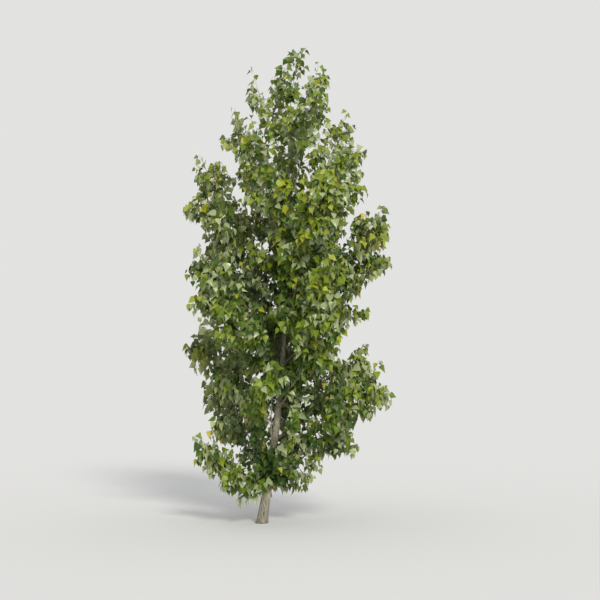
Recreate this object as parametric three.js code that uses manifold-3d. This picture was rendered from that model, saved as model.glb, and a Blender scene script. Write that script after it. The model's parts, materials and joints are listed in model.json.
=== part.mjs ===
// A young hybrid poplar about 6.4 m tall, as a trunk, ascending boughs and masses of foliage.
// Units are millimetres and +Z is up. The origin is the middle of the flat cut under the trunk.
// The view that the tree was measured from looks along +Y, with +X to the right.
import * as THREE from "three";
import { mergeVertices } from "three/addons/utils/BufferGeometryUtils.js";
import Module from "manifold-3d";

const wasm = await Module();
wasm.setup();

// Crown: a spindle round the trunk, widest below its middle
const TREE_HEIGHT = 6450;
const CROWN_FOOT = 80;
const LOWEST_LEAF = 160;
const CROWN_WIDEST_AT = 2900;
const CROWN_RADIUS = 1400;
const CROWN_FULLNESS = 0.67;

// Trunk: leans to +X low down, stands straight, and sways to +X again at the leader
const LEAN = 350;
const LEAN_HEIGHT = 2050;
const SWAY = 155;
const SWAY_START = 5000;
const SWAY_POWER = 2.2;
const BOW = 35;
const BUTT_RADIUS = 68;
const LEADER_RADIUS = 6;
const TAPER_POWER = 2;
const FLARE = 17;
const FLARE_HEIGHT = 110;
const FLARE_LOBES = 5;
const FLARE_LOBE_SHARE = 0.35;
const TRUNK_SIDES = 20;
const TRUNK_RINGS = 14;

// Every limb is a chain of points one step apart, grown in finer steps
const STEP = 235;
const GROWTH_STEPS = 5;

// Leader: the foliage that carries on from the top of the bare trunk
const LEADER_STEPS = 3;
const LEADER_LEAF_TOP = 85;
const LEADER_SEED = 6;
const TRUNK_TOP = TREE_HEIGHT - LEADER_LEAF_TOP - LEADER_STEPS * STEP;

// Branches: a bough bare of leaves, and past its end the stem of its foliage
const BRANCH_COUNT = 25;
const BRANCH_LOWEST = 400;
const BRANCH_HIGHEST = 5380;
const BRANCH_CROWDING = 1.12;
const BRANCH_SEED = 41;
const GOLDEN_ANGLE = Math.PI * (3 - Math.sqrt(5));
const FIRST_AZIMUTH = 3.53;
const AZIMUTH_SCATTER = 0.5;
const LEAVING_LOW = 1.2;
const LEAVING_HIGH = 0.56;
const RISING_LOW = 0.68;
const RISING_HIGH = 0.31;
const BEND_LENGTH = 620;
const SIDE_BEND = 0.34;
const BARE_SHARE_LOW = 0.34;
const BARE_SHARE_HIGH = 0.24;
const BRANCH_RADIUS_BASE = 4;
const BRANCH_RADIUS_PER_LENGTH = 0.0039;
const BRANCH_TO_TRUNK = 0.6;
const BRANCH_TIP_SHARE = 0.45;
const COLLAR_SHARE = 0.4;
const COLLAR_LENGTH = 45;
const BOUGH_SIDES = 5;
const MIN_RING = 20;

// Leafy side shoots leave the trunk between one branch and the next, on the side away from both
const SHOOTS_AFTER = [0, 2, 5, 8, 11, 14];
const SHOOT_LENGTH = 640;
const SHOOT_RADIUS = 6;
const SHOOT_SEED = 907;

// Twigs and leaves. A solid leaf is larger than life, and stands for a spray of real ones.
const STEM_SIDES = 3;
const TWIG_SPACING = 370;
const TWIG_LENGTH = 560;
const TWIG_TIP_SHARE = 0.5;
const TWIG_TO_STEM = 0.42;
const TWIG_SLANT = 0.92;
const TWIG_SCATTER = 0.6;
const TWIG_RADIUS = 3.2;
const TWIG_TIP_RADIUS = 2.6;
const TWIG_SIDES = 3;
const LEAF_LENGTH = 305;
const LEAF_WIDTH = 290;
const LEAF_THICKNESS = 7;
const TOP_LEAF_SHARE = 0.6;
const TOP_LEAVES_FROM = 4300;
const LEAF_SHOULDER = 0.3;
const LEAF_FOLD = 0.16;
const LEAF_STATIONS = [1, 0.78, 0.56, 0.34];
const TIP_STATIONS = [0, 90, 190];
const LEAF_DROOP_LOW = 1.15;
const LEAF_DROOP_HIGH = 0.45;
const LEAF_ATTEMPTS = 16;
const SPACE_MARGIN = 5;
const LIMB_CLEARANCE = 4;
const GAP = 0.3;

const UP = new THREE.Vector3(0, 0, 1);
const mix = (low, high, share) => low + (high - low) * share;
const clamp01 = (value) => Math.min(1, Math.max(0, value));

// Repeatable draws from 0 to 1, by the minimal standard generator.
function seeded(seed) {
  const modulus = 2147483647;
  let state = (seed * 7919 + 104729) % modulus;
  const draw = () => {
    state = (state * 48271) % modulus;
    return state / modulus;
  };
  draw();
  draw();
  return draw;
}

function trunkAt(height) {
  const sway = clamp01((height - SWAY_START) / (TREE_HEIGHT - SWAY_START));
  return new THREE.Vector3(
    LEAN * Math.tanh(height / LEAN_HEIGHT) + SWAY * sway ** SWAY_POWER,
    BOW * Math.sin((2 * Math.PI * height) / TREE_HEIGHT),
    height,
  );
}

function trunkRadius(height) {
  return LEADER_RADIUS + (BUTT_RADIUS - LEADER_RADIUS) * (1 - height / TREE_HEIGHT) ** TAPER_POWER;
}

// The root flare stands out in lobes, and dies away a hand's breadth above the ground.
function flareRadius(height, angle) {
  const lobe = 1 + FLARE_LOBE_SHARE * Math.cos(FLARE_LOBES * angle);
  return FLARE * lobe * Math.exp(-height / FLARE_HEIGHT);
}

function crownRadius(height) {
  const above = height > CROWN_WIDEST_AT;
  const span = above ? TREE_HEIGHT - CROWN_WIDEST_AT : CROWN_WIDEST_AT - CROWN_FOOT;
  const offset = (height - CROWN_WIDEST_AT) / span;
  return CROWN_RADIUS * Math.max(0, 1 - offset * offset) ** CROWN_FULLNESS;
}

// The direction at a slant from upright, and at a heading about the upright.
function towards(slant, heading) {
  return new THREE.Vector3(
    Math.sin(slant) * Math.cos(heading),
    Math.sin(slant) * Math.sin(heading),
    Math.cos(slant),
  );
}

// Branches stand a little closer together towards the foot of the crown.
function branchHeight(index) {
  return mix(BRANCH_LOWEST, BRANCH_HIGHEST, (index / (BRANCH_COUNT - 1)) ** BRANCH_CROWDING);
}

// The level direction square to a heading, from which a limb's cross-sections are laid out.
function beside(heading) {
  return new THREE.Vector3(-Math.sin(heading), Math.cos(heading), 0);
}

// A branch climbs out of the trunk's axis, bends upwards, and ends at the crown's outline.
function growBranch(index) {
  const draw = seeded(BRANCH_SEED + index);
  const share = index / (BRANCH_COUNT - 1);
  const height = branchHeight(index);
  const azimuth = FIRST_AZIMUTH + index * GOLDEN_ANGLE + (draw() - 0.5) * AZIMUTH_SCATTER;
  const leaving = mix(LEAVING_LOW, LEAVING_HIGH, share) * mix(0.92, 1.08, draw());
  const rising = mix(RISING_LOW, RISING_HIGH, share) * mix(0.85, 1.15, draw());
  const swing = (draw() - 0.5) * SIDE_BEND;
  const reach = mix(0.9, 1.02, draw());
  const fine = STEP / GROWTH_STEPS;
  const tip = trunkAt(height);
  const points = [tip.clone()];
  for (let step = 1; step * fine < TREE_HEIGHT; step += 1) {
    const slant = rising + (leaving - rising) * Math.exp((-step * fine) / BEND_LENGTH);
    const heading = azimuth + (swing * step * fine) / 1000;
    tip.addScaledVector(towards(slant, heading), fine);
    if (step % GROWTH_STEPS) continue;
    points.push(tip.clone());
    const fromTrunk = tip.clone().sub(trunkAt(tip.z)).setZ(0).length();
    if (fromTrunk > reach * crownRadius(tip.z) - LEAF_LENGTH * 0.45) break;
  }
  const length = (points.length - 1) * STEP;
  const root = Math.min(
    BRANCH_RADIUS_BASE + BRANCH_RADIUS_PER_LENGTH * length,
    BRANCH_TO_TRUNK * trunkRadius(height),
  );
  const bare = mix(BARE_SHARE_LOW, BARE_SHARE_HIGH, share) * length;
  const seed = BRANCH_SEED * 100 + index;
  return { points, length, root, bare, height, seed, side: beside(azimuth), collar: COLLAR_SHARE };
}

// The leader carries on from the top of the bare trunk to the tip of the tree.
function growLeader() {
  const length = LEADER_STEPS * STEP;
  const points = [];
  for (let at = 0; at <= length; at += STEP) points.push(trunkAt(TRUNK_TOP + at));
  const root = trunkRadius(TRUNK_TOP);
  const side = beside(0);
  return { points, length, root, bare: 0, height: TRUNK_TOP, seed: LEADER_SEED, side, collar: 0 };
}

function growShoot(index) {
  const draw = seeded(SHOOT_SEED + index);
  const height = branchHeight(index + 0.5);
  const azimuth = FIRST_AZIMUTH + (index + 0.5) * GOLDEN_ANGLE + Math.PI;
  const slant = mix(0.75, 1.05, draw());
  const reach = SHOOT_LENGTH * mix(0.85, 1.15, draw());
  const points = [];
  for (let at = 0; at <= reach; at += STEP) {
    points.push(trunkAt(height).addScaledVector(towards(slant, azimuth), at));
  }
  const length = (points.length - 1) * STEP;
  const seed = SHOOT_SEED * 10 + index;
  const side = beside(azimuth);
  return { points, length, root: SHOOT_RADIUS, bare: 0, height, seed, side, collar: COLLAR_SHARE };
}

function pointAt(limb, along) {
  const place = Math.min(Math.max(along / STEP, 0), limb.points.length - 1.000001);
  const step = Math.floor(place);
  return limb.points[step].clone().lerp(limb.points[step + 1], place - step);
}

function directionAt(limb, along) {
  return pointAt(limb, along + STEP / 2).sub(pointAt(limb, along - STEP / 2)).normalize();
}

function radiusAt(limb, along) {
  const collar = 1 + limb.collar * Math.exp(-along / COLLAR_LENGTH);
  return limb.root * mix(1, BRANCH_TIP_SHARE, along / limb.length) * collar;
}

function solidOf(geometry) {
  geometry.deleteAttribute("normal");
  geometry.deleteAttribute("uv");
  const merged = mergeVertices(geometry, 1e-4);
  const vertProperties = new Float32Array(merged.attributes.position.array);
  const triVerts = new Uint32Array(merged.index.array);
  return new wasm.Manifold(new wasm.Mesh({ numProp: 3, vertProperties, triVerts }));
}

// A round bar bent to a path. For a share of its length and an angle round it,
// frameAt gives the middle of the ring, its two cross directions and its radius.
function bentBar(sides, rings, frameAt) {
  const bar = new THREE.CylinderGeometry(1, 1, 1, sides, rings);
  const place = bar.attributes.position;
  for (let i = 0; i < place.count; i += 1) {
    const share = place.getY(i) + 0.5;
    const { middle, across, over, radius } = frameAt(share, Math.atan2(place.getX(i), place.getZ(i)));
    const moved = middle
      .clone()
      .addScaledVector(across, place.getZ(i) * radius)
      .addScaledVector(over, place.getX(i) * radius);
    place.setXYZ(i, moved.x, moved.y, moved.z);
  }
  return solidOf(bar);
}

function trunkSolid(grow) {
  const across = new THREE.Vector3(1, 0, 0);
  const over = new THREE.Vector3(0, 1, 0);
  return bentBar(TRUNK_SIDES, TRUNK_RINGS, (share, angle) => {
    const height = (TRUNK_TOP + grow) * share * share;
    const radius = trunkRadius(height) + flareRadius(height, angle) + grow;
    return { middle: trunkAt(height), across, over, radius };
  });
}

// The cross directions of a limb's section: one near level, the other square to it.
function crossAt(limb, direction) {
  const across = limb.side.clone().addScaledVector(direction, -limb.side.dot(direction)).normalize();
  return { across, over: direction.clone().cross(across) };
}

// The stretch of a limb from one length to another: a ring at each of its points, and flat ends.
function limbSolid(limb, from, to, sides, grow = 0) {
  const between = limb.points.map((_, index) => index * STEP);
  const stops = [from, ...between.filter((at) => at > from + MIN_RING && at < to - MIN_RING), to];
  return bentBar(sides, stops.length - 1, (share) => {
    const along = stops[Math.round(share * (stops.length - 1))];
    const { across, over } = crossAt(limb, directionAt(limb, along));
    return { middle: pointAt(limb, along), across, over, radius: radiusAt(limb, along) + grow };
  });
}

function twigSolid(twig) {
  const direction = twig.end.clone().sub(twig.start).normalize();
  const across = direction.clone().cross(UP).normalize();
  const over = direction.clone().cross(across);
  return bentBar(TWIG_SIDES, 1, (share) => ({
    middle: twig.start.clone().lerp(twig.end, share),
    across,
    over,
    radius: mix(TWIG_RADIUS, TWIG_TIP_RADIUS, share),
  }));
}

// A leaf is a deltoid blade of eight faces: an octahedron with its shoulders near the stalk,
// drawn out to a tip and folded a little along its midrib.
function leafCorners(leaf) {
  const { root, along, across, normal, size } = leaf;
  const at = (forward, sideways, up) =>
    root
      .clone()
      .addScaledVector(along, forward * size)
      .addScaledVector(across, sideways * size)
      .addScaledVector(normal, up * size);
  const shoulder = LEAF_LENGTH * LEAF_SHOULDER;
  const drop = -LEAF_FOLD * LEAF_WIDTH * 0.5;
  return {
    stalk: at(0, 0, 0),
    tip: at(LEAF_LENGTH, 0, drop),
    left: at(shoulder, -LEAF_WIDTH / 2, drop),
    right: at(shoulder, LEAF_WIDTH / 2, drop),
    top: at(shoulder, 0, LEAF_THICKNESS / 2),
    bottom: at(shoulder, 0, -LEAF_THICKNESS / 2),
  };
}

function leafSolid(leaf) {
  const corners = leafCorners(leaf);
  const blade = new THREE.OctahedronGeometry(1);
  const place = blade.attributes.position;
  for (let i = 0; i < place.count; i += 1) {
    const [x, y, z] = [place.getX(i), place.getY(i), place.getZ(i)].map(Math.round);
    const corner =
      x > 0 ? corners.right : x < 0 ? corners.left : y > 0 ? corners.tip : y < 0 ? corners.stalk
        : z > 0 ? corners.top : corners.bottom;
    place.setXYZ(i, corner.x, corner.y, corner.z);
  }
  return solidOf(blade);
}

// Points spread over a leaf, for testing where it lies.
function leafProbes(leaf) {
  const { stalk, tip, left, right, top } = leafCorners(leaf);
  const half = (a, b) => a.clone().lerp(b, 0.5);
  return [
    tip, left, right, top, half(stalk, left), half(stalk, right), half(left, tip), half(right, tip),
    half(top, tip), half(top, left), half(top, right),
  ];
}

function distanceToLimb(point, limb) {
  let nearest = Infinity;
  const segment = new THREE.Line3();
  const closest = new THREE.Vector3();
  for (let i = 0; i + 1 < limb.points.length; i += 1) {
    segment.set(limb.points[i], limb.points[i + 1]);
    segment.closestPointToPoint(point, true, closest);
    nearest = Math.min(nearest, closest.distanceTo(point));
  }
  return nearest;
}

// A mass keeps to the space that lies nearer to its own limb than to any other.
function inOwnSpace(point, own, limbs) {
  if (point.z < LOWEST_LEAF) return false;
  const mine = distanceToLimb(point, own);
  return limbs.every((limb) => limb === own || distanceToLimb(point, limb) > mine + 2 * SPACE_MARGIN);
}

const boxed = (solid) => ({ solid, box: solid.boundingBox() });

function touches(piece, others) {
  const { box, solid } = piece;
  return others.some(({ solid: other, box: room }) => {
    for (let axis = 0; axis < 3; axis += 1) {
      if (box.min[axis] > room.max[axis] || box.max[axis] < room.min[axis]) return false;
    }
    return !solid.intersect(other).isEmpty();
  });
}

// Twigs leave a stem on a spiral, each shorter than the one before it.
function growTwigs(limb, from) {
  const draw = seeded(limb.seed);
  const twigs = [];
  const count = Math.max(2, Math.round((limb.length - from) / TWIG_SPACING));
  const longest = Math.min(TWIG_LENGTH, TWIG_TO_STEM * (limb.length - from));
  for (let k = 0; k < count; k += 1) {
    const share = (k + 0.45) / count;
    const along = mix(from, limb.length, share);
    const start = pointAt(limb, along);
    const direction = directionAt(limb, along);
    const { across, over } = crossAt(limb, direction);
    const turn = k * GOLDEN_ANGLE + (draw() - 0.5) * TWIG_SCATTER;
    const outward = across.multiplyScalar(Math.cos(turn)).addScaledVector(over, Math.sin(turn));
    const slant = TWIG_SLANT * mix(0.85, 1.15, draw());
    const length = longest * mix(1, TWIG_TIP_SHARE, share) * mix(0.85, 1.15, draw());
    const heading = direction
      .clone()
      .multiplyScalar(Math.cos(slant))
      .addScaledVector(outward, Math.sin(slant));
    twigs.push({ start, end: start.clone().addScaledVector(heading, length), along });
  }
  return twigs;
}

// A leaf hangs from its root with its face turned outwards, away from the trunk.
function growLeaf(root, direction, droop, side, draw) {
  const outward = root.clone().sub(trunkAt(root.z)).setZ(0).normalize();
  const sideways = UP.clone().cross(outward);
  const along = direction
    .clone()
    .multiplyScalar(mix(0.2, 0.9, draw()))
    .addScaledVector(outward, mix(0.1, 0.6, draw()))
    .addScaledVector(sideways, side * mix(0.3, 1.1, draw()))
    .addScaledVector(UP, -droop)
    .normalize();
  const facing = outward
    .addScaledVector(sideways, (draw() - 0.5) * 3.4)
    .addScaledVector(UP, mix(0.2, 1, draw()));
  const across = along.clone().cross(facing).normalize();
  const size = mix(1, TOP_LEAF_SHARE, clamp01((root.z - TOP_LEAVES_FROM) / (TREE_HEIGHT - TOP_LEAVES_FROM)));
  return { root, along, across, normal: across.clone().cross(along), size };
}

// One mass: its stem, the twigs that keep clear of the limbs, and leaves that touch
// nothing but the wood they grow on. A scrap that comes loose in fusing is dropped.
function foliageSolid(limb, from, stem, limbs, woods) {
  const draw = seeded(limb.seed + 7);
  const droop = mix(LEAF_DROOP_LOW, LEAF_DROOP_HIGH, clamp01(limb.height / BRANCH_HIGHEST));
  const twigs = growTwigs(limb, from)
    .map((twig) => ({ ...twig, ...boxed(twigSolid(twig)) }))
    .filter((twig) => inOwnSpace(twig.end, limb, limbs) && !touches(twig, woods));
  const main = boxed(stem);
  const leaves = [];
  const hangLeaf = (root, direction, own) => {
    const others = [...woods, main, ...twigs].filter((wood) => wood !== own);
    for (let attempt = 0; attempt < LEAF_ATTEMPTS; attempt += 1) {
      const leaf = growLeaf(root, direction, droop, attempt % 2 ? 1 : -1, draw);
      if (!leafProbes(leaf).every((probe) => inOwnSpace(probe, limb, limbs))) continue;
      const blade = boxed(leafSolid(leaf));
      if (touches(blade, others) || touches(blade, leaves)) continue;
      leaves.push(blade);
      return;
    }
  };

  for (const back of TIP_STATIONS) {
    const along = limb.length - back - 1;
    hangLeaf(pointAt(limb, along), directionAt(limb, along), main);
  }
  for (const share of LEAF_STATIONS) {
    for (const twig of twigs) {
      const direction = twig.end.clone().sub(twig.start).normalize();
      hangLeaf(twig.start.clone().lerp(twig.end, share * 0.985), direction, twig);
    }
  }
  for (const twig of twigs) {
    const along = twig.along + TWIG_SPACING / 2;
    hangLeaf(pointAt(limb, along), directionAt(limb, along), main);
  }
  const fused = wasm.Manifold.union([main, ...twigs, ...leaves].map((piece) => piece.solid));
  return fused.decompose().sort((a, b) => b.volume() - a.volume())[0];
}

function meshOf(name, solid, material) {
  const made = solid.getMesh();
  const geometry = new THREE.BufferGeometry();
  geometry.setAttribute("position", new THREE.Float32BufferAttribute(made.vertProperties, 3));
  geometry.setIndex(new THREE.Uint32BufferAttribute(made.triVerts, 1));
  geometry.computeVertexNormals();
  const mesh = new THREE.Mesh(geometry, material);
  mesh.name = name;
  return mesh;
}

const bark = new THREE.MeshStandardMaterial({ color: "#a3978a", roughness: 0.85, metalness: 0 });
const youngBark = new THREE.MeshStandardMaterial({ color: "#94907a", roughness: 0.75, metalness: 0 });
const leafGreen = new THREE.MeshStandardMaterial({ color: "#5e7a3c", roughness: 0.45, metalness: 0 });

const numbered = (name, index) => `${name}_${String(index + 1).padStart(2, "0")}`;

function buildTree() {
  const tree = new THREE.Group();
  const branches = Array.from({ length: BRANCH_COUNT }, (_, index) => growBranch(index));
  const shoots = SHOOTS_AFTER.map((index) => growShoot(index));
  const leader = growLeader();
  const limbs = [...branches, ...shoots, leader];

  // The limbs with room round them, which no twig or leaf may enter
  const woods = [
    boxed(trunkSolid(LIMB_CLEARANCE)),
    ...branches.map((limb) =>
      boxed(limbSolid(limb, 0, limb.bare - LIMB_CLEARANCE, BOUGH_SIDES, LIMB_CLEARANCE)),
    ),
  ];

  const roomForTrunk = trunkSolid(GAP);
  tree.add(meshOf("trunk", trunkSolid(0), bark));
  branches.forEach((limb, index) => {
    const bough = limbSolid(limb, trunkRadius(limb.height) / 2, limb.bare, BOUGH_SIDES);
    tree.add(meshOf(numbered("bough", index), bough.subtract(roomForTrunk), youngBark));
  });
  branches.forEach((limb, index) => {
    const from = limb.bare + GAP;
    const stem = limbSolid(limb, from, limb.length, STEM_SIDES);
    tree.add(meshOf(numbered("foliage", index), foliageSolid(limb, from, stem, limbs, woods), leafGreen));
  });
  const addOnTrunk = (name, limb) => {
    const stem = limbSolid(limb, 0, limb.length, STEM_SIDES).subtract(roomForTrunk);
    tree.add(meshOf(name, foliageSolid(limb, 0, stem, limbs, woods), leafGreen));
  };
  shoots.forEach((limb, index) => addOnTrunk(numbered("side_shoot", index), limb));
  addOnTrunk("foliage_leader", leader);
  return tree;
}

export default buildTree();
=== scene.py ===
# A young hybrid poplar in full leaf, 6.45 m tall. The trunk and the boughs get a mesh with
# the bark's relief, and each mass of foliage gets stems, twigs, stalks and life-size leaves,
# grown by the same rule as the solids. Metres and radians, +Z up, the origin under the trunk.
import json
import math
from types import SimpleNamespace

import bpy
import numpy as np
from mathutils import Matrix, Vector

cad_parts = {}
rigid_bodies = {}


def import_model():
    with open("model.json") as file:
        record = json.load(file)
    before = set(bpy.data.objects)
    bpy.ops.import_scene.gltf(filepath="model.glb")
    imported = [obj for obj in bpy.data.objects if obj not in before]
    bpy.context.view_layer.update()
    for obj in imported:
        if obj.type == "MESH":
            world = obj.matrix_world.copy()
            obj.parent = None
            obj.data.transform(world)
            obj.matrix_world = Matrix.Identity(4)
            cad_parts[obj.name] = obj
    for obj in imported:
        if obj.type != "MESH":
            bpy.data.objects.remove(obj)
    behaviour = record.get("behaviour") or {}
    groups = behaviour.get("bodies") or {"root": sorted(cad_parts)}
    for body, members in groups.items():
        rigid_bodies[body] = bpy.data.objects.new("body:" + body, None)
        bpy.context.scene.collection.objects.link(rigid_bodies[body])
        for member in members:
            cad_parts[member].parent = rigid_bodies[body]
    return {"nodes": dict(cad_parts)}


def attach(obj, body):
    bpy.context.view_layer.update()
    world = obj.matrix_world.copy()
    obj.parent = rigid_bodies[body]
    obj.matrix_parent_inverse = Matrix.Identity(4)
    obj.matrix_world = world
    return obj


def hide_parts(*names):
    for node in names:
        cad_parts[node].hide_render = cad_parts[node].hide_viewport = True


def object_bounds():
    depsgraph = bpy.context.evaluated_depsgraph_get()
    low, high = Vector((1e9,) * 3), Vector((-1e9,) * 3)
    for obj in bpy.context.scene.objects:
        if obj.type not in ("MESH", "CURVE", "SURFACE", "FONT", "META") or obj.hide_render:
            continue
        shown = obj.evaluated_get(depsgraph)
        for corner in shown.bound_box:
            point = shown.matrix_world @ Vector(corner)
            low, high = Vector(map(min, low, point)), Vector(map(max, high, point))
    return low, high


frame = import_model()
cad_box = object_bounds()

# Crown: a spindle round the trunk, widest below its middle
TREE_HEIGHT = 6.45
CROWN_FOOT = 0.08
LOWEST_LEAF = 0.16
CROWN_WIDEST_AT = 2.9
CROWN_RADIUS = 1.4
CROWN_FULLNESS = 0.67

# Trunk: leans to +X low down, stands straight, and sways to +X again at the leader
LEAN = 0.35
LEAN_HEIGHT = 2.05
SWAY = 0.155
SWAY_START = 5.0
SWAY_POWER = 2.2
BOW = 0.035
BUTT_RADIUS = 0.068
LEADER_RADIUS = 0.006
TAPER_POWER = 2
FLARE = 0.017
FLARE_HEIGHT = 0.11
FLARE_LOBES = 5
FLARE_LOBE_SHARE = 0.35

# Limbs: chains of points one step apart. SCATTER is how far a slant or a length may stray.
STEP = 0.235
GROWTH_STEPS = 5
LEADER_STEPS = 3
LEADER_LEAF_TOP = 0.085
LEADER_SEED = 6
TRUNK_TOP = TREE_HEIGHT - LEADER_LEAF_TOP - LEADER_STEPS * STEP
BRANCH_COUNT = 25
BRANCH_LOWEST = 0.4
BRANCH_HIGHEST = 5.38
BRANCH_CROWDING = 1.12
BRANCH_SEED = 41
TWIG_SEED = 100 * BRANCH_SEED
GOLDEN_ANGLE = math.pi * (3 - math.sqrt(5))
FIRST_AZIMUTH = 3.53
AZIMUTH_SCATTER = 0.5
LEAVING_LOW = 1.2
LEAVING_HIGH = 0.56
LEAVING_SCATTER = (0.92, 1.08)
RISING_LOW = 0.68
RISING_HIGH = 0.31
SCATTER = (0.85, 1.15)
BRANCH_REACH = (0.9, 1.02)
BEND_LENGTH = 0.62
SIDE_BEND = 0.34
BARE_SHARE_LOW = 0.34
BARE_SHARE_HIGH = 0.24
BRANCH_RADIUS_BASE = 0.004
BRANCH_RADIUS_PER_LENGTH = 0.0039
BRANCH_TO_TRUNK = 0.6
BRANCH_TIP_SHARE = 0.45
COLLAR_SHARE = 0.4
COLLAR_LENGTH = 0.045
SOLID_LEAF = 0.305
TIP_LEAF_ROOM = 0.45 * SOLID_LEAF
SHOOTS_AFTER = (0, 2, 5, 8, 11, 14)
SHOOT_SLANT = (0.75, 1.05)
SHOOT_LENGTH = 0.64
SHOOT_RADIUS = 0.006
SHOOT_SEED = 907
SHOOT_TWIG_SEED = 10 * SHOOT_SEED

# Twigs leave a stem on a spiral, and finer sprigs leave the twigs in the same way. Pairs of
# spacings, lengths and shares are for the full crown and for the slim spires at its top, and
# pairs of radii are for a root and a tip. Seeds under 10 are added to a limb's own seed.
TWIG_POINTS = 6
TWIG_SPACING = 0.37
FIRST_TWIG = 0.45
TWIG_LENGTH = 0.56
TWIG_TIP_SHARE = 0.5
TWIG_TO_STEM = 0.42
TWIG_SLANT = 0.92
TWIG_SCATTER = 0.6
TWIG_RADII = (0.0032, 0.0014)
TWIG_LIFT = 0.22
BETWEEN_SPACING = (0.1, 0.2)
BETWEEN_SHARE = (1.0, 0.75)
BETWEEN_TIP_SHARE = (0.5, 0.25)
BETWEEN_SEED = 1
SPRIG_SPACING = (0.085, 0.32)
SPRIG_LENGTH = (0.24, 0.12)
SPRIG_TO_TWIG = 0.6
SPRIG_TIP_SHARE = 0.3
SPRIG_RADII = (0.0017, 0.0009)
SPRIGS_FROM = 0.12
SPRIG_SEED = 2
TWIG_SPRIG_SEED = 5000
BARE_SPRIGS_FROM = 0.12
BARE_SPRIG_SPACING = (0.036, 0.2)
BARE_SPRIG_LENGTH = (0.36, 0.15)
BARE_SPRIG_TIP_SHARE = 0.8
BARE_SPRIG_SEED = 3
SHORTEST_TWIG = 0.05
CUT_SHARE = 0.7
CUTS = 4
SPIRES_FROM = 3.4
SPIRES_FULL_AT = 5.2
SPIRES_END = 6.0
SPIRE_SLANT = 0.5
STEM_TIP_RADIUS = 0.0028
TIP_SHOOT_LIMITS = (0.04, 0.3)
TIP_SHOOTS_END = 6.05

# Short leafy sprigs clothe the trunk itself between two heights, closest together near its foot
TRUNK_ITSELF = -1
TRUNK_LINE_STEP = 0.2
TRUNK_SPRIGS = (BRANCH_LOWEST, TRUNK_TOP - 0.3)
TRUNK_SPRIG_SPACING = 0.038
TRUNK_SPRIG_LENGTH = 0.4
TRUNK_SPRIG_TIP_SHARE = 0.5
TRUNK_SPRIG_SEED = 8123
FOOT_SPRIGS = (0.46, 0.94)
FOOT_SPRIG_SPACING = 0.018
FOOT_SPRIG_TIP_SHARE = 0.9
FOOT_SPRIG_SLANT = 1.3
FOOT_SPRIG_SEED = 8124

# Where the solids have one leaf, a sprig hangs with a spray of leaves: partly ahead along its
# parent, partly outwards and to a side, and drooping
SPRAY_LENGTH = 0.26
SPRAY_TIP_STATIONS = (0.001, 0.091, 0.191)
SPRAY_TWIG_STATIONS = (1, 0.78, 0.56, 0.34)
LAST_STATION = 0.985
SPRAY_AHEAD = (0.2, 0.9)
SPRAY_OUT = (0.1, 0.6)
SPRAY_ASIDE = (0.3, 1.1)
SPRAY_DROOP_LOW = 1.15
SPRAY_DROOP_HIGH = 0.45
SPRAY_STRAIGHT_SHARE = 0.4
SPRAY_SEED = 7
TOP_SPRAY_SHARE = 0.42
TOP_LEAVES_FROM = 4.3

# The trunk shows through the front of the crown between these heights, this far to each side
TRUNK_SHOWS = ((0.98, 1.62), (2.08, 2.4))
TRUNK_SHOWS_WIDTH = 0.12

# How far twigs and leaves stay inside their own limb's space, and off the trunk's bark
SPACE_MARGIN = 0.005
BARK_CLEARANCE = 0.004

# Leaves stand on a spiral along a shoot, smaller ones towards its tip. Spacing, tip share and
# the places that leaves start from are for the full crown and for its top.
LEAF_SEED = 12
LEAF_SPACING = (0.025, 0.065)
FIRST_LEAF = 0.6
SPRIG_LEAVES_FROM = 0.12
TWIG_LEAVES_FROM = (0.45, 0.15)
STEM_LEAVES_FROM = (0.5, 0.2)
ANY_TURN = 6.3
LEAF_TURN_SCATTER = 0.4
LEAF_SCATTER = (0.74, 1.18)
TIP_LEAF_SHARE = (0.6, 0.42)
TIP_LEAF_POWER = 4
TOP_LEAF_SHARE = 0.98
LEAFY_SHARE = 0.4

# How far a stalk leans along its shoot, outwards and down, how far a blade leans along its
# stalk, away from the trunk, to a side and down, and how far its face turns to a side and up
STALK_AHEAD = (0.35, 0.7)
STALK_OUT = (0.6, 1)
STALK_DOWN = (0, 0.35)
STALK_SCATTER = (0.7, 1.15)
BLADE_AHEAD = (0.3, 0.9)
BLADE_AWAY = (0, 0.5)
BLADE_ASIDE = (-0.7, 0.7)
BLADE_DOWN = (0.4, 1.2)
FACE_ASIDE = (-2.4, 2.4)
FACE_UP = (0.1, 1.2)
LEAF_DROOP_LOW = 1.15
LEAF_DROOP_HIGH = 0.8

# Leaf blades: deltoid, with a drawn-out tip, on long stalks. A station is a distance from the
# base and half the width there, and the probe is where a blade is tested for room beside its
# tip. Apart from the counts, the length and the last two, these are shares of that length.
LEAF_LENGTH = 0.114
LEAF_STATIONS = ((0.01, 0.17), (0.09, 0.37), (0.24, 0.43), (0.5, 0.3), (0.77, 0.1))
LEAF_RIPPLE = (0.3, -0.8, 1, -0.8, 0.4)
LEAF_THICKNESS = 0.012
LEAF_PROBE = (0.25, 0.4)
LEAF_KINDS = 12
LEAF_KIND_SEED = 31
FOLDS = (0.05, 0.55)
CURLS = (-0.08, 0.38)
WAVES = (0.0, 0.055)
SKEWS = (-0.18, 0.18)
STALK_SHARE = 0.46
STALK_RADIUS = 0.0011
STALK_INTO_BLADE = 0.003

# Buds: how far each point stands past the shoot's end, and how thick it is there
BUD_STATIONS = (0.003, 0.01)
BUD_RADII = (0.0022, 0.0002)

UP = np.array((0.0, 0.0, 1.0))
TINY = 0.000001
POINTS_AT_A_TIME = 2000

# The minimal standard generator
MODULUS = 2147483647
MULTIPLIER = 48271
SEED_FACTOR = 7919
SEED_SHIFT = 104729


def mix(low, high, share):
    return low + (high - low) * share


def unit(vectors):
    return vectors / np.linalg.norm(vectors, axis=-1, keepdims=True)


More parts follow.
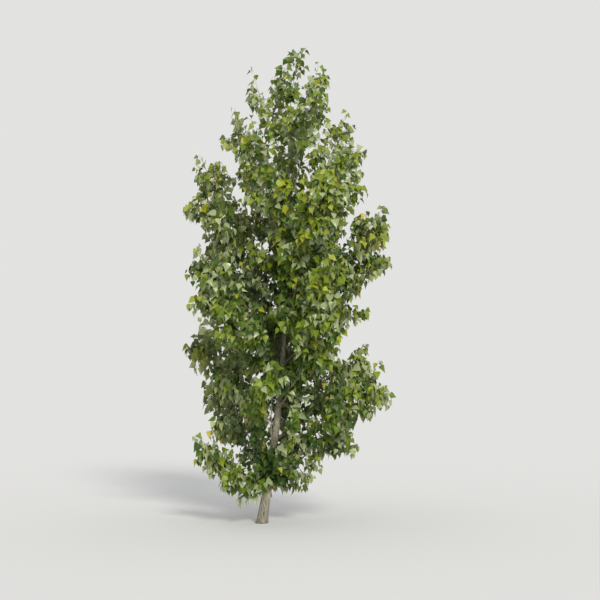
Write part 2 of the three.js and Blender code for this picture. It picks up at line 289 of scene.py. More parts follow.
def seeded(seed):
    """Repeatable draws from 0 to 1, the same as for the solids."""
    state = (seed * SEED_FACTOR + SEED_SHIFT) % MODULUS

    def draw():
        nonlocal state
        state = state * MULTIPLIER % MODULUS
        return state / MODULUS

    draw()
    draw()
    return draw


# The tree's limbs


def trunk_at(height):
    height = np.asarray(height, float)
    sway = np.clip((height - SWAY_START) / (TREE_HEIGHT - SWAY_START), 0, 1)
    east = LEAN * np.tanh(height / LEAN_HEIGHT) + SWAY * sway**SWAY_POWER
    return np.stack([east, BOW * np.sin(2 * np.pi * height / TREE_HEIGHT), height], -1)


def trunk_radius(height):
    return LEADER_RADIUS + (BUTT_RADIUS - LEADER_RADIUS) * (1 - height / TREE_HEIGHT) ** TAPER_POWER


def flare_radius(height, angle):
    lobe = 1 + FLARE_LOBE_SHARE * np.cos(FLARE_LOBES * angle)
    return FLARE * lobe * np.exp(-height / FLARE_HEIGHT)


def crown_radius(height):
    above = height > CROWN_WIDEST_AT
    span = np.where(above, TREE_HEIGHT - CROWN_WIDEST_AT, CROWN_WIDEST_AT - CROWN_FOOT)
    offset = (height - CROWN_WIDEST_AT) / span
    return CROWN_RADIUS * np.maximum(0, 1 - offset * offset) ** CROWN_FULLNESS


def towards(slant, heading):
    return np.array(
        (math.sin(slant) * math.cos(heading), math.sin(slant) * math.sin(heading), math.cos(slant))
    )


def beside(heading):
    return np.array((-math.sin(heading), math.cos(heading), 0.0))


def branch_height(index):
    return mix(BRANCH_LOWEST, BRANCH_HIGHEST, (index / (BRANCH_COUNT - 1)) ** BRANCH_CROWDING)


def limb(points, root, bare, height, seed, side, collar=COLLAR_SHARE):
    points = np.array(points)
    return SimpleNamespace(points=points, step=STEP, length=(len(points) - 1) * STEP, root=root,
                           bare=bare, height=height, seed=seed, side=side, collar=collar)


def grow_branch(index):
    """A branch climbs out of the trunk's axis, bends upwards, and ends at the crown's outline."""
    draw = seeded(BRANCH_SEED + index)
    share = index / (BRANCH_COUNT - 1)
    height = branch_height(index)
    azimuth = FIRST_AZIMUTH + index * GOLDEN_ANGLE + (draw() - 0.5) * AZIMUTH_SCATTER
    leaving = mix(LEAVING_LOW, LEAVING_HIGH, share) * mix(*LEAVING_SCATTER, draw())
    rising = mix(RISING_LOW, RISING_HIGH, share) * mix(*SCATTER, draw())
    swing = (draw() - 0.5) * SIDE_BEND
    reach = mix(*BRANCH_REACH, draw())
    fine = STEP / GROWTH_STEPS
    tip = trunk_at(height)
    points = [tip]
    for step in range(1, int(TREE_HEIGHT / fine)):
        slant = rising + (leaving - rising) * math.exp(-step * fine / BEND_LENGTH)
        tip = tip + fine * towards(slant, azimuth + swing * step * fine)
        if step % GROWTH_STEPS:
            continue
        points.append(tip)
        from_trunk = np.linalg.norm((tip - trunk_at(tip[2]))[:2])
        if from_trunk > reach * crown_radius(tip[2]) - TIP_LEAF_ROOM or tip[2] > SPIRES_END:
            break
    length = (len(points) - 1) * STEP
    root = min(BRANCH_RADIUS_BASE + BRANCH_RADIUS_PER_LENGTH * length,
               BRANCH_TO_TRUNK * trunk_radius(height))
    bare = mix(BARE_SHARE_LOW, BARE_SHARE_HIGH, share) * length
    return limb(points, root, bare, height, TWIG_SEED + index, beside(azimuth))


def grow_side_shoot(index):
    draw = seeded(SHOOT_SEED + index)
    height = branch_height(index + 0.5)
    azimuth = FIRST_AZIMUTH + (index + 0.5) * GOLDEN_ANGLE + math.pi
    slant = mix(*SHOOT_SLANT, draw())
    reach = SHOOT_LENGTH * mix(*SCATTER, draw())
    points = [trunk_at(height) + k * STEP * towards(slant, azimuth)
              for k in range(int(reach / STEP) + 1)]
    return limb(points, SHOOT_RADIUS, 0, height, SHOOT_TWIG_SEED + index, beside(azimuth))


def grow_leader():
    points = trunk_at(TRUNK_TOP + STEP * np.arange(LEADER_STEPS + 1))
    return limb(points, trunk_radius(TRUNK_TOP), 0, TRUNK_TOP, LEADER_SEED, beside(0), 0)


branches = [grow_branch(index) for index in range(BRANCH_COUNT)]
limbs = [*branches, *(grow_side_shoot(index) for index in SHOOTS_AFTER), grow_leader()]


def point_at(wood, along):
    place = np.clip(np.asarray(along) / wood.step, 0, len(wood.points) - 1)
    stations = np.arange(len(wood.points))
    return np.stack([np.interp(place, stations, wood.points[:, axis]) for axis in range(3)], -1)


def direction_at(wood, along):
    along = np.asarray(along)
    return unit(point_at(wood, along + wood.step / 2) - point_at(wood, along - wood.step / 2))


def radius_at(branch, along):
    collar = 1 + branch.collar * np.exp(-along / COLLAR_LENGTH)
    return branch.root * mix(1, BRANCH_TIP_SHARE, along / branch.length) * collar


def cross_at(wood, direction):
    """Two directions square to the wood and to each other, the first one near level."""
    across = unit(wood.side - direction * (direction @ wood.side)[..., None])
    return across, np.cross(direction, across)


def smooth_point_at(branch, along):
    """A point on a curve through the limb's points, with its corners rounded."""
    place = np.clip(along / STEP, 0, len(branch.points) - (1 + TINY))
    step = place.astype(int)
    ends = np.pad(branch.points, ((1, 1), (0, 0)), "edge")
    ends[0] = 2 * ends[1] - ends[2]
    ends[-1] = 2 * ends[-2] - ends[-3]
    before, start, end, after = (ends[step + k] for k in range(4))
    t = (place - step)[:, None]
    leave, arrive = (end - before) / 2, (after - start) / 2
    return (start * (2 * t**3 - 3 * t**2 + 1) + leave * (t**3 - 2 * t**2 + t)
            + end * (3 * t**2 - 2 * t**3) + arrive * (t**3 - t**2))


# The room each mass has

segment_starts = np.concatenate([wood.points[:-1] for wood in limbs])
segment_runs = np.concatenate([np.diff(wood.points, axis=0) for wood in limbs])
first_segments = np.cumsum([0] + [len(wood.points) - 1 for wood in limbs[:-1]])


def limb_distances(points):
    """How far each point lies from the midline of each limb."""
    found = []
    for some in np.array_split(points, len(points) // POINTS_AT_A_TIME + 1):
        away = some[:, None] - segment_starts
        share = np.clip((away * segment_runs).sum(-1) / (segment_runs**2).sum(-1), 0, 1)
        gaps = np.linalg.norm(away - share[..., None] * segment_runs, axis=-1)
        found.append(np.minimum.reduceat(gaps, first_segments, axis=1))
    return np.concatenate(found)


def has_room(points, owners):
    """Whether each point keeps to its own limb's space, off the ground and clear of the trunk."""
    distances = limb_distances(points)
    rows = np.arange(len(points))
    mine = distances[rows, owners]
    distances[rows, owners] = np.inf
    height = points[:, 2]
    from_bark = np.linalg.norm((points - trunk_at(height))[:, :2], axis=1) - trunk_radius(height)
    low, high = np.array(cad_box)
    return (
        ((distances.min(1) > mine + 2 * SPACE_MARGIN) | (owners == TRUNK_ITSELF))
        & (height > LOWEST_LEAF)
        & ((from_bark > BARK_CLEARANCE) | (height > TRUNK_TOP))
        & (points > low).all(1)
        & (points < high).all(1)
    )


def hides_trunk(points):
    """Whether each point stands before the trunk where it shows through the crown."""
    aside, forward = (points - trunk_at(points[:, 2]))[:, :2].T
    shows = np.any([(points[:, 2] > low) & (points[:, 2] < high) for low, high in TRUNK_SHOWS], axis=0)
    return shows & (forward < 0) & (np.abs(aside) < TRUNK_SHOWS_WIDTH)


# Twigs, sprigs and leaves


def curved_twig(root, middle, end, owner, radii, along=0):
    """A twig as a curve from its root past a middle point to its end."""
    t = np.linspace(0, 1, TWIG_POINTS)[:, None]
    points = root * (1 - t) ** 2 + middle * 2 * t * (1 - t) + end * t**2
    length = np.linalg.norm(np.diff(points, axis=0), axis=1).sum()
    return SimpleNamespace(points=points, step=length / (TWIG_POINTS - 1), length=length,
                           owner=owner, radii=radii, side=unit(np.cross(end - root, UP)),
                           along=along)


def grow_twigs(parent, owner, start, end, spacing, longest, tip_share, radii, seed,
               slanting=TWIG_SLANT):
    """Twigs leave their parent on a spiral, each shorter than the one before, and bend upwards."""
    draw = seeded(seed)
    twigs = []
    count = max(2, round((end - start) / spacing))
    for k in range(count):
        share = (k + FIRST_TWIG) / count
        along = mix(start, end, share)
        root = point_at(parent, along)
        direction = direction_at(parent, along)
        across, over = cross_at(parent, direction)
        turn = k * GOLDEN_ANGLE + (draw() - 0.5) * TWIG_SCATTER
        outward = across * math.cos(turn) + over * math.sin(turn)
        slant = slanting * mix(*SCATTER, draw())
        length = longest * mix(1, tip_share, share) * mix(*SCATTER, draw())
        tip = root + length * (direction * math.cos(slant) + outward * math.sin(slant))
        sag = UP * TWIG_LIFT * length / 2
        twigs.append(curved_twig(root, (root + tip) / 2 - sag, tip, owner, radii, along))
    return twigs


def hang_sprays(parent, owner, stations, droop, draw):
    """Sprigs where the solids have a leaf: ahead, outwards, to a side and drooping, by its rule."""
    sprays = []
    for along in stations:
        root, direction = point_at(parent, along), direction_at(parent, along)
        outward = (root - trunk_at(root[2])) * (1, 1, 0)
        outward = outward / max(TINY, np.linalg.norm(outward))
        length = SPRAY_LENGTH * mix(1, TOP_SPRAY_SHARE, topness(root[2]))
        sides = []
        for side in (-1, 1):
            heading = unit(direction * mix(*SPRAY_AHEAD, draw()) + outward * mix(*SPRAY_OUT, draw())
                           + np.cross(UP, outward) * side * mix(*SPRAY_ASIDE, draw()) - UP * droop)
            sides.append(curved_twig(root, root + SPRAY_STRAIGHT_SHARE * length * direction,
                                     root + length * heading, owner, SPRIG_RADII))
        sprays += those_with_room(sides)[:1]
    return sprays


def those_with_room(twigs):
    probes = np.concatenate([twig.points[[TWIG_POINTS // 2, -1]] for twig in twigs])
    owners = np.repeat([twig.owner for twig in twigs], 2)
    room = has_room(probes, owners).reshape(-1, 2).all(1)
    return [twig for twig, free in zip(twigs, room) if free]


def fitted(twigs):
    """Twigs cut short, where they have to be, until they have room."""
    kept = []
    for _ in range(CUTS):
        free = those_with_room(twigs) if twigs else []
        kept += free
        standing = {id(twig) for twig in free}
        twigs = [twig for twig in twigs if id(twig) not in standing and twig.length > SHORTEST_TWIG]
        for twig in twigs:
            twig.points = twig.points[0] + (twig.points - twig.points[0]) * CUT_SHARE
            twig.step, twig.length = CUT_SHARE * twig.step, CUT_SHARE * twig.length
    return kept


def spiring(wood):
    """From 0 in the full crown to 1 at the top, where each branch ends in a slim spire."""
    return min(1, max(0, (wood.height - SPIRES_FROM) / (SPIRES_FULL_AT - SPIRES_FROM)))


def topness(height):
    """From 0 in the full crown to 1 at the very top, where leaves are smaller and further apart."""
    return np.clip((height - TOP_LEAVES_FROM) / (TREE_HEIGHT - TOP_LEAVES_FROM), 0, 1)


twigs, sprigs = [], []
for owner, wood in enumerate(limbs):
    spire = spiring(wood)
    longest = min(TWIG_LENGTH, TWIG_TO_STEM * (wood.length - wood.bare))
    own_twigs = those_with_room(grow_twigs(
        wood, owner, wood.bare, wood.length, TWIG_SPACING, longest, TWIG_TIP_SHARE, TWIG_RADII,
        wood.seed))
    droop = mix(SPRAY_DROOP_LOW, SPRAY_DROOP_HIGH, min(1, wood.height / BRANCH_HIGHEST))
    draw = seeded(wood.seed + SPRAY_SEED)
    for twig in own_twigs:
        stations = [share * LAST_STATION * twig.length for share in SPRAY_TWIG_STATIONS]
        sprigs += hang_sprays(twig, owner, stations, droop, draw)
    stations = [wood.length - back for back in SPRAY_TIP_STATIONS]
    stations += [twig.along + TWIG_SPACING / 2 for twig in own_twigs]
    sprigs += hang_sprays(wood, owner, stations, droop, draw)
    twigs += own_twigs + fitted(grow_twigs(
        wood, owner, wood.bare, wood.length, mix(*BETWEEN_SPACING, spire),
        mix(*BETWEEN_SHARE, spire) * longest, mix(*BETWEEN_TIP_SHARE, spire), TWIG_RADII,
        wood.seed + BETWEEN_SEED, mix(TWIG_SLANT, SPIRE_SLANT, spire)))
    sprigs += grow_twigs(wood, owner, wood.bare, wood.length, mix(*SPRIG_SPACING, spire),
                         mix(*SPRIG_LENGTH, spire), SPRIG_TIP_SHARE, SPRIG_RADII,
                         wood.seed + SPRIG_SEED, mix(TWIG_SLANT, SPIRE_SLANT, spire))
    if wood.bare:
        sprigs += grow_twigs(wood, owner, BARE_SPRIGS_FROM * wood.bare, wood.bare,
                             mix(*BARE_SPRIG_SPACING, spire), mix(*BARE_SPRIG_LENGTH, spire),
                             BARE_SPRIG_TIP_SHARE, SPRIG_RADII, wood.seed + BARE_SPRIG_SEED)
    # A leafy tip shoot runs on in line from the end of each stem
    tip = wood.points[-1]
    onward = direction_at(wood, wood.length) * np.clip(TIP_SHOOTS_END - tip[2], *TIP_SHOOT_LIMITS)
    sprigs.append(curved_twig(tip, tip + onward / 2, tip + onward, owner,
                              (STEM_TIP_RADIUS, SPRIG_RADII[1])))
for index, twig in enumerate(twigs):
    spire = spiring(limbs[twig.owner])
    longest = min(mix(*SPRIG_LENGTH, spire), SPRIG_TO_TWIG * twig.length)
    sprigs += grow_twigs(twig, twig.owner, SPRIGS_FROM * twig.length, twig.length,
                         mix(*SPRIG_SPACING, spire), longest, SPRIG_TIP_SHARE, SPRIG_RADII,
                         TWIG_SPRIG_SEED + index, mix(TWIG_SLANT, SPIRE_SLANT, spire))
trunk_line = SimpleNamespace(points=trunk_at(np.arange(0, TRUNK_TOP, TRUNK_LINE_STEP)),
                             step=TRUNK_LINE_STEP, side=beside(0))
sprigs += grow_twigs(trunk_line, TRUNK_ITSELF, *TRUNK_SPRIGS, TRUNK_SPRIG_SPACING,
                     TRUNK_SPRIG_LENGTH, TRUNK_SPRIG_TIP_SHARE, SPRIG_RADII, TRUNK_SPRIG_SEED)
sprigs += grow_twigs(trunk_line, TRUNK_ITSELF, *FOOT_SPRIGS, FOOT_SPRIG_SPACING, SPRIG_LENGTH[0],
                     FOOT_SPRIG_TIP_SHARE, SPRIG_RADII, FOOT_SPRIG_SEED, FOOT_SPRIG_SLANT)
sprigs = fitted(sprigs)


def leaves_along(wood, owner, start, rng):
    """The stalk's root, the shoot's direction there, and the way out, for each leaf of a shoot."""
    top = topness(wood.points[-1][2])
    count = max(2, round((wood.length - start) / mix(*LEAF_SPACING, top)))
    share = (np.arange(count) + FIRST_LEAF) / count
    along = mix(start, wood.length, share)
    direction = direction_at(wood, along)
    across, over = cross_at(wood, direction)
    turn = (np.arange(count) * GOLDEN_ANGLE + rng.uniform(0, ANY_TURN)
            + rng.uniform(-LEAF_TURN_SCATTER, LEAF_TURN_SCATTER, count))
    outward = across * np.cos(turn)[:, None] + over * np.sin(turn)[:, None]
    root = point_at(wood, along)
    tip_share = along / wood.length
    size = mix(1.0, mix(*TIP_LEAF_SHARE, top), tip_share**TIP_LEAF_POWER)
    size *= rng.uniform(*LEAF_SCATTER, count)
    size *= mix(1, TOP_LEAF_SHARE, top)
    return SimpleNamespace(root=root, direction=direction, outward=outward, size=size,
                           owner=np.full(count, owner), tip_share=tip_share)


rng = np.random.default_rng(LEAF_SEED)
sprays = [leaves_along(sprig, sprig.owner, SPRIG_LEAVES_FROM * sprig.length, rng) for sprig in sprigs]
for twig in twigs:
    start = mix(*TWIG_LEAVES_FROM, spiring(limbs[twig.owner])) * twig.length
    sprays.append(leaves_along(twig, twig.owner, start, rng))
for owner, wood in enumerate(limbs):
    start = mix(wood.bare, wood.length, mix(*STEM_LEAVES_FROM, spiring(wood)))
    sprays.append(leaves_along(wood, owner, start, rng))

root, direction, outward, size, owner, tip_share = (
    np.concatenate([getattr(spray, field) for spray in sprays])
    for field in ("root", "direction", "outward", "size", "owner", "tip_share"))
spray_of = np.repeat(np.arange(len(sprays)), [len(spray.size) for spray in sprays])
count = len(root)


def scattered(low_and_high):
    return rng.uniform(*low_and_high, count)[:, None]


# A stalk leaves the shoot at a slant and sags, and its blade hangs with its face turned
# outwards, away from the trunk.
away = root - trunk_at(root[:, 2])
away[:, 2] = 0
away = unit(away)
aside = np.cross(UP, away)
stalk = unit(direction * scattered(STALK_AHEAD) + outward * scattered(STALK_OUT)
             - UP * scattered(STALK_DOWN))
base = root + stalk * (STALK_SHARE * LEAF_LENGTH * size[:, None] * scattered(STALK_SCATTER))
tall = np.clip(root[:, 2] / TREE_HEIGHT, 0, 1)
droop = mix(LEAF_DROOP_LOW, LEAF_DROOP_HIGH, tall)[:, None]
along = unit(stalk * scattered(BLADE_AHEAD) + away * scattered(BLADE_AWAY)
             + aside * scattered(BLADE_ASIDE) - UP * droop * scattered(BLADE_DOWN))
facing = away + aside * scattered(FACE_ASIDE) + UP * scattered(FACE_UP)
normal = unit(facing - along * (facing * along).sum(1)[:, None])
across = np.cross(normal, along)
length = (LEAF_LENGTH * size)[:, None]
probes = [base + (along * far + across * wide) * length
          for far, wide in ((1, 0), LEAF_PROBE, (LEAF_PROBE[0], -LEAF_PROBE[1]))]
room = np.all([has_room(probe, owner) & ~hides_trunk(probe) for probe in probes], axis=0)

# A sprig that keeps too few of its leaves is left out with them
leafy = np.bincount(spray_of, room) / np.bincount(spray_of)
bare = (leafy < LEAFY_SHARE) & (np.arange(len(sprays)) < len(sprigs))
room &= ~bare[spray_of]
sprigs = [sprig for sprig, is_bare in zip(sprigs, bare) if not is_bare]

# Tints are dealt out by spray: shaded or deep green inside and low down, but not at the foot, as painted
# shade and in part the deeper green of inner leaves, mature or fresh green outside and higher up, as
# painted light, waxy ones with a painted sheen all through, fresh or young ones at the tips of shoots,
# and a few leaves already yellow
TINTS = ("shaded", "deep", "mature", "fresh", "waxy", "young", "yellow")
SHADED, DEEP, MATURE, FRESH, WAXY_SHEEN, YOUNG, YELLOW = range(len(TINTS))

# A spray's light, painted into its leaves as a lighter or darker tint, grows with how far out and how
# high it stands, up to this share of the tree's height, and with how near the ground it is, below this
# height
OUTSIDE_CROWN = 0.15
HEIGHT_LIGHT = 1.15
HEIGHT_LIGHT_END = 0.65
FOOT_LIGHT = 0.9
FOOT_LIGHT_END = 1.1
LIGHT_SCATTER = 0.32
SHADED_BELOW = 0.74
DEEP_BELOW = 1.04

# Shares of the sprays or the leaves that have each tint. Outer waxy sprays, with their painted sheen, are
# more at the ground than from this height on, and fresh ones go by their share of the tree's height. Some
# leaves have another spray's tint, and few fresh or young ones stand behind a shoot's tip.
WAXY_SHEEN_SPRAYS = 0.1
WAXY_SHEEN_OUTER_SPRAYS = (0.62, 0.39)
WAXY_SHEEN_OUTER_END = 2
FRESH_SHARES = ((0, 0.25, 0.65, 0.85, 1), (0.02, 0.05, 0.2, 0.1, 0.03))
FRESH_PER_YOUNG = 5
YELLOW_SPRAYS = 0.002
YELLOW_LEAVES = 0.003
SWAPPED_LEAVES = 0.35
TIP_FROM = 0.8
BEHIND_TIP = 0.6


def freshness(share_of_height):
    return np.interp(share_of_height, *FRESH_SHARES)


middle = np.array([spray.root.mean(0) for spray in sprays])
tallness = middle[:, 2] / TREE_HEIGHT
outness = (np.linalg.norm((middle - trunk_at(middle[:, 2]))[:, :2], axis=1)
           / (crown_radius(middle[:, 2]) + OUTSIDE_CROWN))
lot = rng.uniform(0, 1, len(sprays))
light = (outness + HEIGHT_LIGHT * np.minimum(tallness, HEIGHT_LIGHT_END)
         + FOOT_LIGHT * np.clip(1 - middle[:, 2] / FOOT_LIGHT_END, 0, 1)
         + rng.normal(0, LIGHT_SCATTER, len(sprays)))
outer_waxy_sheen = mix(*WAXY_SHEEN_OUTER_SPRAYS, np.clip(middle[:, 2] / WAXY_SHEEN_OUTER_END, 0, 1))
# Sprays with little light get the darker shaded and deep tints and the rest lighter ones: painted shade
# and painted light
spray_tint = np.select(
    [lot > 1 - YELLOW_SPRAYS, lot < WAXY_SHEEN_SPRAYS, light < SHADED_BELOW, light < DEEP_BELOW,
     lot < outer_waxy_sheen, lot > 1 - freshness(tallness) / 2],
    [YELLOW, WAXY_SHEEN, SHADED, DEEP, WAXY_SHEEN, FRESH], MATURE)
swapped = rng.uniform(0, 1, count) < SWAPPED_LEAVES
tint = spray_tint[np.where(swapped, rng.permutation(spray_of), spray_of)]
tip_lot = rng.uniform(0, 1, count) + BEHIND_TIP * (tip_share < TIP_FROM)
tint[tip_lot < freshness(tall)] = FRESH
tint[tip_lot < freshness(tall) / FRESH_PER_YOUNG] = YOUNG
tint[rng.uniform(0, 1, count) < YELLOW_LEAVES] = YELLOW


# Nodes and meshes


def linear(hex_colour):
    """An sRGB hex colour as linear values, opaque."""
    values = [int(hex_colour[k:k + 2], 16) / 255 for k in (1, 3, 5)]
    return (*(v / 12.92 if v < 0.04045 else ((v + 0.055) / 1.055) ** 2.4 for v in values), 1.0)


def add(tree, kind, inputs=None, **settings):
    """Adds a node, with its settings, and its inputs as values or as links from sockets or nodes."""
    node = tree.nodes.new(kind)
    for name, value in settings.items():
        setattr(node, name, value)
    for name, value in (inputs or {}).items():
        socket = (node.inputs[name] if isinstance(name, int)
                  else next(s for s in node.inputs if s.name == name and s.enabled))
        if isinstance(value, bpy.types.Node):
            value = next(s for s in value.outputs if s.enabled)
        if isinstance(value, bpy.types.NodeSocket):
            tree.links.new(value, socket)
        else:
            socket.default_value = value
    return node


def new_tree(name, inputs):
    """A geometry node tree with a mesh in and out, and these named inputs."""
    tree = bpy.data.node_groups.new(name, "GeometryNodeTree")
    tree.interface.new_socket("Geometry", in_out="INPUT", socket_type="NodeSocketGeometry")
    for label, (kind, value) in inputs.items():
        socket = tree.interface.new_socket(label, in_out="INPUT", socket_type="NodeSocket" + kind)
        if value is not None:
            socket.default_value = value
    tree.interface.new_socket("Geometry", in_out="OUTPUT", socket_type="NodeSocketGeometry")
    return tree, add(tree, "NodeGroupInput").outputs


def end_tree(tree, geometry, material):
    """Ends a tree with smooth faces, real copies and a material."""
    smooth = add(tree, "GeometryNodeSetShadeSmooth", {"Geometry": geometry})
    whole = add(tree, "GeometryNodeRealizeInstances", {"Geometry": smooth})
    clad = add(tree, "GeometryNodeSetMaterial", {"Geometry": whole, "Material": material})
    add(tree, "NodeGroupOutput", {"Geometry": clad})
    return tree


def mesh_of(name, points, edges=(), faces=(), attributes=None):
    """A mesh with point attributes, each given as (kind, values)."""
    mesh = bpy.data.meshes.new(name)
    mesh.from_pydata(points, edges, faces)
    for label, (kind, values) in (attributes or {}).items():
        layer = mesh.attributes.new(label, kind, "POINT")
        layer.data.foreach_set("value", np.asarray(values, float).ravel())
    return mesh


def new_object(name, data):
    thing = bpy.data.objects.new(name, data)
    bpy.context.scene.collection.objects.link(thing)
    return thing


def make_piece(name, mesh, tree, values, nodes):
    """Runs a node tree on a mesh and keeps what it makes as a plain mesh, in place of CAD nodes."""
    piece = new_object(name, mesh)
    modifier = piece.modifiers.new("growth", "NODES")
    modifier.node_group = tree
    for socket in tree.interface.items_tree:
        if socket.name in values:
            modifier[socket.identifier] = values[socket.name]
    depsgraph = bpy.context.evaluated_depsgraph_get()
    made = bpy.data.meshes.new_from_object(piece.evaluated_get(depsgraph), depsgraph=depsgraph)
    piece.modifiers.clear()
    piece.data = made
    made.name = name
    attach(piece, "root")
    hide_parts(*nodes)


def new_material(name):
    material = bpy.data.materials.new(name)
    material.use_nodes = True
    return material, material.node_tree, material.node_tree.nodes["Principled BSDF"]


def finish_surface(tree, surface, tone, pattern, roughness, roughness_scatter, bump):
    """Gives a surface its colour and bump, and a roughness that strays with a pattern."""
    rough = add(tree, "ShaderNodeMapRange",
                {"Value": pattern, "To Min": roughness - roughness_scatter,
                 "To Max": roughness + roughness_scatter})
    tree.links.new(tone.outputs["Result"], surface.inputs["Base Color"])
    tree.links.new(rough.outputs[0], surface.inputs["Roughness"])
    tree.links.new(bump.outputs[0], surface.inputs["Normal"])


# Poplar bark: thin, smooth young bark, dry and matt, in patches drawn out upwards, with corky dashes
# across it. Shallow fissures gather at the foot, where it is darker and browner, as weathered bark and as
# painted shade.
# A dash is about 10 mm wide and 3.5 mm high, and there is one to each 25 mm across. Its edge
# is a share of that spacing.
PATCH_STOPS = (0.34, 0.5, 0.66)
PATCH_FLATNESS = 0.3
WEATHERED_AND_SHADED_SHARE = 0.75
DASH_SPACING_MM = 25
DASH_FLATNESS = 3
DASH_EDGE = (0.16, 0.26)
BARK_GRAINS_PER_METRE = 260
BARK_ROUGHNESS_SCATTER = 0.08


def bark_material(name, tones, weathered_and_shaded, crevice, patch_mm, roughness):
    material, tree, surface = new_material(name)
    place = add(tree, "ShaderNodeTexCoord").outputs["Object"]
    tall = add(tree, "ShaderNodeMapping", {"Vector": place, "Scale": (1, 1, PATCH_FLATNESS)})
    patches = add(tree, "ShaderNodeTexNoise",
                  {"Vector": tall, "Scale": 1000 / patch_mm, "Detail": 5.0, "Roughness": 0.62})
    patched = add(tree, "ShaderNodeValToRGB", {"Fac": patches})
    patched.color_ramp.elements.new(PATCH_STOPS[1])
    for element, stop, tone in zip(patched.color_ramp.elements, PATCH_STOPS, tones):
        element.position, element.color = stop, linear(tone)
    age = add(tree, "ShaderNodeAttribute", attribute_name="age").outputs["Fac"]
    aged_and_shaded = add(tree, "ShaderNodeMath", {0: age, 1: WEATHERED_AND_SHADED_SHARE}, operation="MULTIPLY")
    # Darker and browner towards the foot, by the bark's age: weathered bark, and painted shade
    ground = add(tree, "ShaderNodeMix",
                 {"Factor": aged_and_shaded, "A": patched, "B": linear(weathered_and_shaded)}, data_type="RGBA")
    flat = add(tree, "ShaderNodeMapping", {"Vector": place, "Scale": (1, 1, DASH_FLATNESS)})
    dashes = add(tree, "ShaderNodeTexVoronoi", {"Vector": flat, "Scale": 1000 / DASH_SPACING_MM})
    dash = add(tree, "ShaderNodeMapRange",
               {"Value": dashes.outputs["Distance"], "From Min": DASH_EDGE[0],
                "From Max": DASH_EDGE[1], "To Min": 1.0, "To Max": 0.0})
    dashed = add(tree, "ShaderNodeMix",
                 {"Factor": dash, "A": ground, "B": linear(tones[0])}, data_type="RGBA")
    # The scars are the bark's own dark marks, and the fissures' darker colour is in part their own and in
    # part painted shade
    grooves = add(tree, "ShaderNodeAttribute", attribute_name="crevice").outputs["Fac"]
    dark = add(tree, "ShaderNodeMath", {0: grooves, 1: 0.0}, operation="MAXIMUM")
    creviced = add(tree, "ShaderNodeMix",
                   {"Factor": dark, "A": dashed, "B": linear(crevice)}, data_type="RGBA")
    grain = add(tree, "ShaderNodeTexNoise",
                {"Vector": tall, "Scale": BARK_GRAINS_PER_METRE, "Detail": 3.0})
    height = add(tree, "ShaderNodeMath", {0: grain, 1: dash}, operation="ADD")
    bump = add(tree, "ShaderNodeBump", {"Height": height, "Strength": 0.5, "Distance": 0.0012})
    finish_surface(tree, surface, creviced, patches, roughness, BARK_ROUGHNESS_SCATTER, bump)
    return material


# Poplar leaf, upper face: a waxy cuticle, half glossy, over a net of paler veins. The underside is paler
# and matt, its paleness in part its own and in part painted light that shines through the blade. Vein
# sizes are shares of a blade's length.
MIDRIB_EDGE = (0.012, 0.03)
SIDE_VEIN_SLANT = -0.75
SIDE_VEIN_HALF_SPACING = 0.11
SIDE_VEIN_WIDTH = 0.02
SIDE_VEIN_STRENGTH = 0.6
LEAF_MOTTLES_PER_METRE = 90
LEAF_ROUGHNESS_SCATTER = 0.06
LEAF_IOR = 1.45


def leaf_material(name, tones, vein, roughness, shine, vein_share):
    material, tree, surface = new_material(name)
    surface.inputs["IOR"].default_value = LEAF_IOR
    surface.inputs["Specular IOR Level"].default_value = shine
    blade = add(tree, "ShaderNodeSeparateXYZ", {"Vector": add(tree, "ShaderNodeUVMap", uv_map="blade")})
    side = add(tree, "ShaderNodeMath", {0: blade.outputs["Y"]}, operation="ABSOLUTE")
    midrib = add(tree, "ShaderNodeMapRange",
                 {"Value": side, "From Min": MIDRIB_EDGE[0], "From Max": MIDRIB_EDGE[1],
                  "To Min": 1.0, "To Max": 0.0})
    swept = add(tree, "ShaderNodeMath", {0: side, 1: SIDE_VEIN_SLANT, 2: blade.outputs["X"]},
                operation="MULTIPLY_ADD")
    comb = add(tree, "ShaderNodeMath", {0: swept, 1: SIDE_VEIN_HALF_SPACING}, operation="PINGPONG")
    ribs = add(tree, "ShaderNodeMapRange",
               {"Value": comb, "From Min": 0.0, "From Max": SIDE_VEIN_WIDTH,
                "To Min": SIDE_VEIN_STRENGTH, "To Max": 0.0})
    veins = add(tree, "ShaderNodeMath", {0: midrib, 1: ribs}, operation="MAXIMUM")
    place = add(tree, "ShaderNodeTexCoord").outputs["Object"]
    mottle = add(tree, "ShaderNodeTexNoise",
                 {"Vector": place, "Scale": LEAF_MOTTLES_PER_METRE, "Detail": 2.0})
    green = add(tree, "ShaderNodeMix",
                {"Factor": mottle, "A": linear(tones[0]), "B": linear(tones[1])}, data_type="RGBA")
    share = add(tree, "ShaderNodeMath", {0: veins, 1: vein_share}, operation="MULTIPLY")
    veined = add(tree, "ShaderNodeMix",
                 {"Factor": share, "A": green, "B": linear(vein)}, data_type="RGBA")
    bump = add(tree, "ShaderNodeBump", {"Height": veins, "Strength": 0.4, "Distance": 0.0008})
    finish_surface(tree, surface, veined, mottle, roughness, LEAF_ROUGHNESS_SCATTER, bump)
    return material


